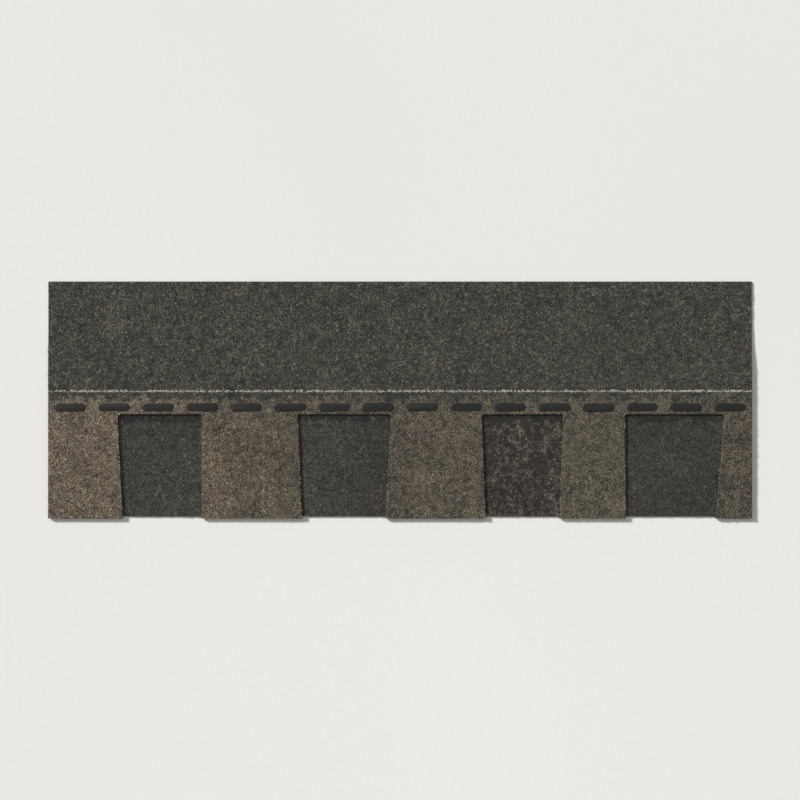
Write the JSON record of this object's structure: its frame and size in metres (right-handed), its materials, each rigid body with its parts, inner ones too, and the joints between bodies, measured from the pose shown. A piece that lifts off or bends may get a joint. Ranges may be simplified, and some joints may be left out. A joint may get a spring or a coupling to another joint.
{
  "type": "laminated asphalt roof shingle",
  "caption": "Laminated asphalt shingle: a granule-faced top sheet cut into wide flared teeth, bonded over a narrower backing strip, with a self-sealing strip.",
  "frame": {"origin": "middle of the underside: half way along the course, half way from butt edge to upper edge, on the plane that the shingle lies on", "axes": "+X along the course, +Y up the roof from the butt edge to the upper edge, +Z out of the granule face"},
  "size_m": [1, 0.337, 0.006],
  "materials": {
    "top_sheet_granules": "matte",
    "backing_granules": "matte",
    "sealant": "satin",
    "release_film": "gloss"
  },
  "bodies": {
    "root": {"toothed_top_sheet": "top_sheet_granules", "backing_strip": "backing_granules", "sealant_dashes": "sealant", "release_tape": "release_film"}
  },
  "joints": []
}
